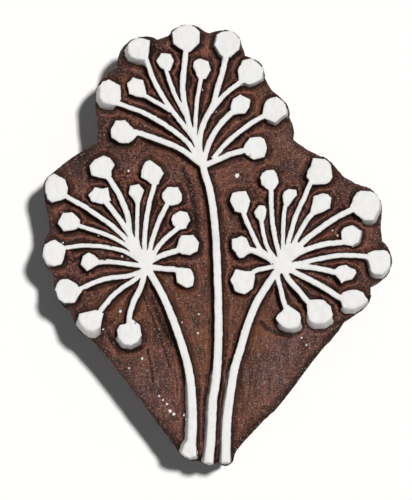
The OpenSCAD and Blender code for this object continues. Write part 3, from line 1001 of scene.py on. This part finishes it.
class NodeSheet:
    """A node tree that is filled in step by step."""

    def __init__(self, tree: bpy.types.NodeTree) -> None:
        """Takes the tree to fill."""
        self.tree = tree

    def link(self, source: Socket, target: Socket) -> None:
        """Joins an output to an input."""
        self.tree.links.new(source, target)

    def add(self, kind: str, inputs: dict | None = None, **settings: object) -> bpy.types.Node:
        """Places a node.

        Args:
            kind: the node's type.
            inputs: values or sockets for its inputs, by name or number.
            settings: the node's own properties.

        Returns:
            The node.
        """
        node = self.tree.nodes.new(kind)
        for name, value in settings.items():
            setattr(node, name, value)
        for name, value in (inputs or {}).items():
            if isinstance(value, bpy.types.NodeSocket):
                self.tree.links.new(value, node.inputs[name])
            else:
                node.inputs[name].default_value = value
        return node

    def group(self, tree: bpy.types.NodeTree, **inputs: Socket | float) -> bpy.types.bpy_prop_collection:
        """The outputs of a node group, placed with its inputs."""
        return self.add("ShaderNodeGroup", inputs, node_tree=tree).outputs

    def calc(self, operation: str, a: Socket | float, b: Socket | float) -> Socket:
        """The result of a Math node."""
        return self.add("ShaderNodeMath", {0: a, 1: b}, operation=operation).outputs[0]

    def weigh(self, *layers: tuple[Socket, float]) -> Socket:
        """The sum of several layers, each times its weight."""
        total, *others = (self.calc("MULTIPLY", layer, weight) for layer, weight in layers)
        for layer in others:
            total = self.calc("ADD", total, layer)
        return total

    def mix(self, share: Socket | float, a: Socket | Colour, b: Socket | Colour) -> Socket:
        """A colour between two others."""
        inputs = {0: share, 6: opaque(a), 7: opaque(b)}
        return self.add("ShaderNodeMix", inputs, data_type="RGBA").outputs[2]

    def step(self, value: Socket, low: float, high: float, to_low: float = 0, to_high: float = 1) -> Socket:
        """A smooth step from to_low at low to to_high at high."""
        inputs = {"Value": value, "From Min": low, "From Max": high, "To Min": to_low, "To Max": to_high}
        return self.add("ShaderNodeMapRange", inputs, interpolation_type="SMOOTHSTEP").outputs["Result"]

    def attribute(self, name: str) -> Socket:
        """A vertex attribute's number."""
        return self.add("ShaderNodeAttribute", attribute_name=name).outputs["Fac"]

    def place(self, scale: tuple[float, float, float] = (1, 1, 1)) -> Socket:
        """Object coordinates in mm, stretched."""
        coordinates = self.add("ShaderNodeTexCoord").outputs["Object"]
        factors = tuple(s / MM for s in scale)
        mapping = self.add("ShaderNodeMapping", {"Vector": coordinates, "Scale": factors})
        return mapping.outputs["Vector"]

    def noise(self, at: Socket, size: float, detail: float = 3, rough: float = 0.55, warp: float = 0) -> Socket:
        """Noise from 0 to 1, with lumps of a size in mm."""
        inputs = {"Vector": at, "Scale": 1 / size, "Detail": detail, "Roughness": rough, "Distortion": warp}
        return self.add("ShaderNodeTexNoise", inputs).outputs["Fac"]


def opaque(value: Socket | Colour) -> Socket | tuple[float, float, float, float]:
    """A colour with its alpha, or the socket as it is."""
    return value if isinstance(value, bpy.types.NodeSocket) else (*value, 1.0)


def new_material(name: str) -> tuple[bpy.types.Material, NodeSheet, bpy.types.Node]:
    """An empty material.

    Args:
        name: the material's name.

    Returns:
        The material, the sheet of its nodes and its Principled shader.
    """
    material = bpy.data.materials.new(name)
    material.use_nodes = True
    shader = material.node_tree.nodes["Principled BSDF"]
    return material, NodeSheet(material.node_tree), shader


def wood_grain() -> bpy.types.NodeTree:
    """The grain that both wooden finishes share: streaks along the grain, broad blotches and fine grit.

    Returns:
        A node group that reads a place in mm.
    """
    tree = bpy.data.node_groups.new("wood_grain", "ShaderNodeTree")
    tree.interface.new_socket("Place", in_out="INPUT", socket_type="NodeSocketVector")
    sheet = NodeSheet(tree)
    place = sheet.add("NodeGroupInput").outputs["Place"]
    end = sheet.add("NodeGroupOutput")
    stretched = sheet.add("ShaderNodeMapping", {"Vector": place, "Scale": (1, 0.16, 1)}).outputs["Vector"]
    layers = {
        "Streaks": sheet.noise(stretched, 0.8, 4, 0.65, 0.3),
        "Blotch": sheet.noise(place, 5.0, 4, 0.6, 0.3),
        "Grit": sheet.noise(place, 0.4, 3, 0.7),
    }
    for name, layer in layers.items():
        tree.interface.new_socket(name, in_out="OUTPUT", socket_type="NodeSocketFloat")
        sheet.link(layer, end.inputs[name])
    return tree


def fine_specks() -> bpy.types.NodeTree:
    """Small scattered specks, for dust and painted glints on the block, dust on the handle and pits in the
    paint.

    Returns:
        A node group that reads a place in mm and a level, past which a speck shows.
    """
    tree = bpy.data.node_groups.new("fine_specks", "ShaderNodeTree")
    tree.interface.new_socket("Place", in_out="INPUT", socket_type="NodeSocketVector")
    tree.interface.new_socket("Level", in_out="INPUT", socket_type="NodeSocketFloat")
    tree.interface.new_socket("Mask", in_out="OUTPUT", socket_type="NodeSocketFloat")
    sheet = NodeSheet(tree)
    start = sheet.add("NodeGroupInput").outputs
    end = sheet.add("NodeGroupOutput")
    dots = sheet.noise(start["Place"], 0.36, 2, 0.6)
    over = sheet.calc("SUBTRACT", dots, start["Level"])
    sheet.link(sheet.step(over, 0.0, 0.05), end.inputs["Mask"])
    return tree


@dataclass(frozen=True)
class BlockStainAndShade:
    """Dark reddish-brown stain on gouged wood, with painted shade in its grooves, hollows, cuts and along its
    rim, light specks that are partly painted glints, and greyer paint on the relief's flanks as painted shade.
    """

    # Near-black, for dark stain and grit and for the painted shade in the grooves, the cuts and along the rim.
    deep: Colour = (0.012, 0.006, 0.005)
    dark: Colour = (0.036, 0.015, 0.012)
    mid: Colour = (0.105, 0.036, 0.026)
    light: Colour = (0.26, 0.09, 0.056)
    umber: Colour = (0.17, 0.064, 0.026)
    plum: Colour = (0.09, 0.042, 0.043)
    warm: Colour = (0.2, 0.078, 0.032)
    dusty: Colour = (0.2, 0.128, 0.122)
    # Light specks: partly dust, partly painted glints where oiled wood would catch the light.
    speck: Colour = (0.42, 0.33, 0.3)
    # Paint on the relief's flanks, drawn greyer than the face's white as painted shade.
    paint: Colour = (0.66, 0.65, 0.64)
    dust_and_glint_level: float = 0.625
    groove_shade: tuple[float, float] = (0.12, 0.9)
    rim_shade_width: float = 2.8

    def material(self, grain: bpy.types.NodeTree, specks: bpy.types.NodeTree) -> bpy.types.Material:
        """Builds the material.

        Args:
            grain: the wood_grain group.
            specks: the fine_specks group.

        Returns:
            The material.
        """
        material, sheet, shader = new_material("block_stain_and_shade")
        place = sheet.place()
        edge = sheet.attribute("edge")
        wood = sheet.group(grain, Place=place)
        axes = sheet.add("ShaderNodeSeparateXYZ", {0: place}).outputs
        slow = [sheet.calc("MULTIPLY", axes[n], 0.14) for n in (0, 1)]
        along = sheet.add("ShaderNodeCombineXYZ", {0: slow[0], 1: slow[1], 2: edge}).outputs[0]
        strokes = sheet.noise(along, 0.5, 4, 0.65)
        tone = sheet.weigh((wood["Streaks"], 0.25), (wood["Blotch"], 0.3), (wood["Grit"], 0.25), (strokes, 0.35))
        # Painted shade in the hollows and painted highlight on the ridges: the tone falls where a vertex lies
        # below its neighbours and rises where it stands above them.
        tone = sheet.calc("SUBTRACT", tone, sheet.calc("MULTIPLY", sheet.attribute("hollow"), 0.9))
        base = sheet.mix(sheet.step(tone, 0.48, 0.58), self.dark, self.mid)
        base = sheet.mix(sheet.step(tone, 0.56, 0.69), base, self.light)
        hue = sheet.noise(place, 3.2, 5, 0.7, 0.6)
        base = sheet.mix(sheet.step(hue, 0.54, 0.68, 0, 0.6), base, self.umber)
        base = sheet.mix(sheet.step(hue, 0.46, 0.34, 0, 0.6), base, self.plum)
        stain = sheet.noise(place, 2.2, 6, 0.75, 1.0)
        base = sheet.mix(sheet.step(stain, 0.47, 0.36, 0, 0.75), base, self.deep)
        fine = sheet.noise(place, 0.24, 2, 0.7)
        base = sheet.mix(sheet.step(fine, 0.52, 0.38, 0, 0.6), base, self.deep)
        # Fine light specks, partly dust and partly painted glints.
        base = sheet.mix(sheet.step(fine, 0.54, 0.7, 0, 0.35), base, self.speck)
        # The ground drawn towards near-black in the dark patches.
        base = sheet.mix(sheet.calc("MULTIPLY", sheet.attribute("dark"), 0.8), base, self.deep)
        warm = sheet.calc("MULTIPLY", sheet.attribute("warm"), sheet.step(strokes, 0.35, 0.65))
        base = sheet.mix(sheet.calc("MULTIPLY", warm, 0.6), base, self.warm)
        patchy = sheet.step(wood["Streaks"], 0.42, 0.62)
        dusty = sheet.calc("MULTIPLY", sheet.attribute("dusty"), sheet.step(wood["Grit"], 0.44, 0.62))
        base = sheet.mix(sheet.calc("MULTIPLY", dusty, patchy), base, self.dusty)
        # Near-black in the groove at the relief's foot: partly dark grime, partly painted shade.
        rough_edge = sheet.calc("ADD", edge, sheet.calc("MULTIPLY", wood["Grit"], 0.5))
        base = sheet.mix(sheet.step(rough_edge, *self.groove_shade, 0.82, 0.0), base, self.deep)
        # Painted shade along the block's rim: the ground darkens towards near-black within a few millimetres of
        # the outline.
        base = sheet.mix(sheet.step(sheet.attribute("rim"), 0.0, self.rim_shade_width, 0.75, 0.0), base, self.deep)
        # Painted shade in the knife cuts: they are drawn near-black.
        base = sheet.mix(sheet.calc("MULTIPLY", sheet.attribute("cut"), 0.85), base, self.deep)
        # Scattered light specks away from the relief's foot: dust and painted glints.
        dots = sheet.group(specks, Place=place, Level=self.dust_and_glint_level)["Mask"]
        base = sheet.mix(sheet.calc("MULTIPLY", dots, sheet.step(edge, 0.2, 1.0)), base, self.speck)
        # Paint down the relief's flanks, in the greyer colour that carries painted shade.
        ragged = sheet.noise(place, 0.5, 3, 0.6)
        level = sheet.calc("ADD", sheet.attribute("paint"), sheet.calc("MULTIPLY", ragged, 0.9))
        base = sheet.mix(sheet.step(level, 0.85, 1.05), base, self.paint)
        sheet.link(base, shader.inputs["Base Color"])
        shader.inputs["Roughness"].default_value = 0.6
        shader.inputs["Specular IOR Level"].default_value = 0.12
        bump = sheet.add("ShaderNodeBump", {"Height": wood["Grit"], "Distance": 0.0003, "Strength": 0.7})
        sheet.link(bump.outputs["Normal"], shader.inputs["Normal"])
        return material


@dataclass(frozen=True)
class HandleStain:
    """Hand-worn, lightly oiled wood."""

    dark: Colour = (0.07, 0.028, 0.018)
    light: Colour = (0.24, 0.105, 0.062)
    dust: Colour = (0.36, 0.28, 0.24)
    dust_level: float = 0.72

    def material(self, grain: bpy.types.NodeTree, specks: bpy.types.NodeTree) -> bpy.types.Material:
        """Builds the material.

        Args:
            grain: the wood_grain group.
            specks: the fine_specks group.

        Returns:
            The material.
        """
        material, sheet, shader = new_material("handle_stain")
        place = sheet.place()
        wood = sheet.group(grain, Place=place)
        tone = sheet.weigh((wood["Streaks"], 0.7), (wood["Blotch"], 0.3))
        base = sheet.mix(sheet.step(tone, 0.38, 0.64), self.dark, self.light)
        dots = sheet.group(specks, Place=place, Level=self.dust_level)["Mask"]
        base = sheet.mix(dots, base, self.dust)
        sheet.link(base, shader.inputs["Base Color"])
        sheet.link(sheet.step(wood["Blotch"], 0.35, 0.65, 0.42, 0.6), shader.inputs["Roughness"])
        shader.inputs["Specular IOR Level"].default_value = 0.3
        bump = sheet.add("ShaderNodeBump", {"Height": wood["Streaks"], "Distance": 0.0002, "Strength": 0.4})
        sheet.link(bump.outputs["Normal"], shader.inputs["Normal"])
        return material


@dataclass(frozen=True)
class WhitePaint:
    """Matt white paint, brushed thin."""

    white: Colour = (0.86, 0.86, 0.855)
    worn: Colour = (0.76, 0.755, 0.745)
    pit: Colour = (0.5, 0.46, 0.44)
    pit_level: float = 0.76

    def material(self, specks: bpy.types.NodeTree) -> bpy.types.Material:
        """Builds the material.

        Args:
            specks: the fine_specks group.

        Returns:
            The material.
        """
        material, sheet, shader = new_material("brushed_white")
        place = sheet.place()
        streaks = sheet.noise(sheet.place((1, 0.3, 1)), 0.8, 4, 0.6)
        base = sheet.mix(sheet.step(streaks, 0.4, 0.75, 0, 0.8), self.white, self.worn)
        pits = sheet.group(specks, Place=place, Level=self.pit_level)["Mask"]
        base = sheet.mix(pits, base, self.pit)
        sheet.link(base, shader.inputs["Base Color"])
        shader.inputs["Roughness"].default_value = 0.75
        bump = sheet.add("ShaderNodeBump", {"Height": streaks, "Distance": 0.0001, "Strength": 0.5})
        sheet.link(bump.outputs["Normal"], shader.inputs["Normal"])
        return material


@dataclass(frozen=True)
class DriedGlue:
    """Amber glue, darker where it is thick."""

    thin: Colour = (0.55, 0.36, 0.14)
    thick: Colour = (0.34, 0.19, 0.06)

    def material(self) -> bpy.types.Material:
        """Builds the material."""
        material, sheet, shader = new_material("dried_glue")
        base = sheet.mix(sheet.step(sheet.noise(sheet.place(), 2.0), 0.4, 0.6), self.thin, self.thick)
        sheet.link(base, shader.inputs["Base Color"])
        shader.inputs["Roughness"].default_value = 0.3
        return material


@dataclass(frozen=True)
class DullSteel:
    """Dull steel with a little tarnish."""

    bright: Colour = (0.36, 0.35, 0.33)
    tarnish: Colour = (0.16, 0.12, 0.09)

    def material(self) -> bpy.types.Material:
        """Builds the material."""
        material, sheet, shader = new_material("dull_steel")
        spots = sheet.step(sheet.noise(sheet.place(), 1.2, 4), 0.45, 0.65)
        sheet.link(sheet.mix(spots, self.bright, self.tarnish), shader.inputs["Base Color"])
        sheet.link(sheet.step(spots, 0, 1, 0.35, 0.6), shader.inputs["Roughness"])
        shader.inputs["Metallic"].default_value = 1.0
        return material


def dress(piece: bpy.types.Object, material: bpy.types.Material) -> None:
    """Gives a piece its one finish and reports it."""
    piece.data.materials.clear()
    piece.data.materials.append(material)
    piece.data.calc_loop_triangles()
    LOG.info("%s: %d triangles, %s", piece.name, len(piece.data.loop_triangles), material.name)


def main() -> None:
    """Builds every piece in order and reports it."""
    logging.basicConfig(level=logging.INFO, format="%(name)s: %(message)s")
    bpy.context.scene.view_settings.view_transform = "Standard"
    Studio().build()
    grain = wood_grain()
    specks = fine_specks()
    block = CarvedBlock()
    dress(block.build(), BlockStainAndShade().material(grain, specks))
    paint = WhitePaint().material(specks)
    for side in ("left", "middle", "right"):
        dress(FlowerCoat(f"{side}_flower_paint", f"{side}_flower_coat").build(), paint)
    dress(PaintFlecks().build(block.surface), paint)
    dress(HandleBar().build(), HandleStain().material(grain, specks))
    dress(GlueLip().build(), DriedGlue().material())
    dress(HandleScrews().build(), DullSteel().material())


if __name__ == "__main__":
    main()
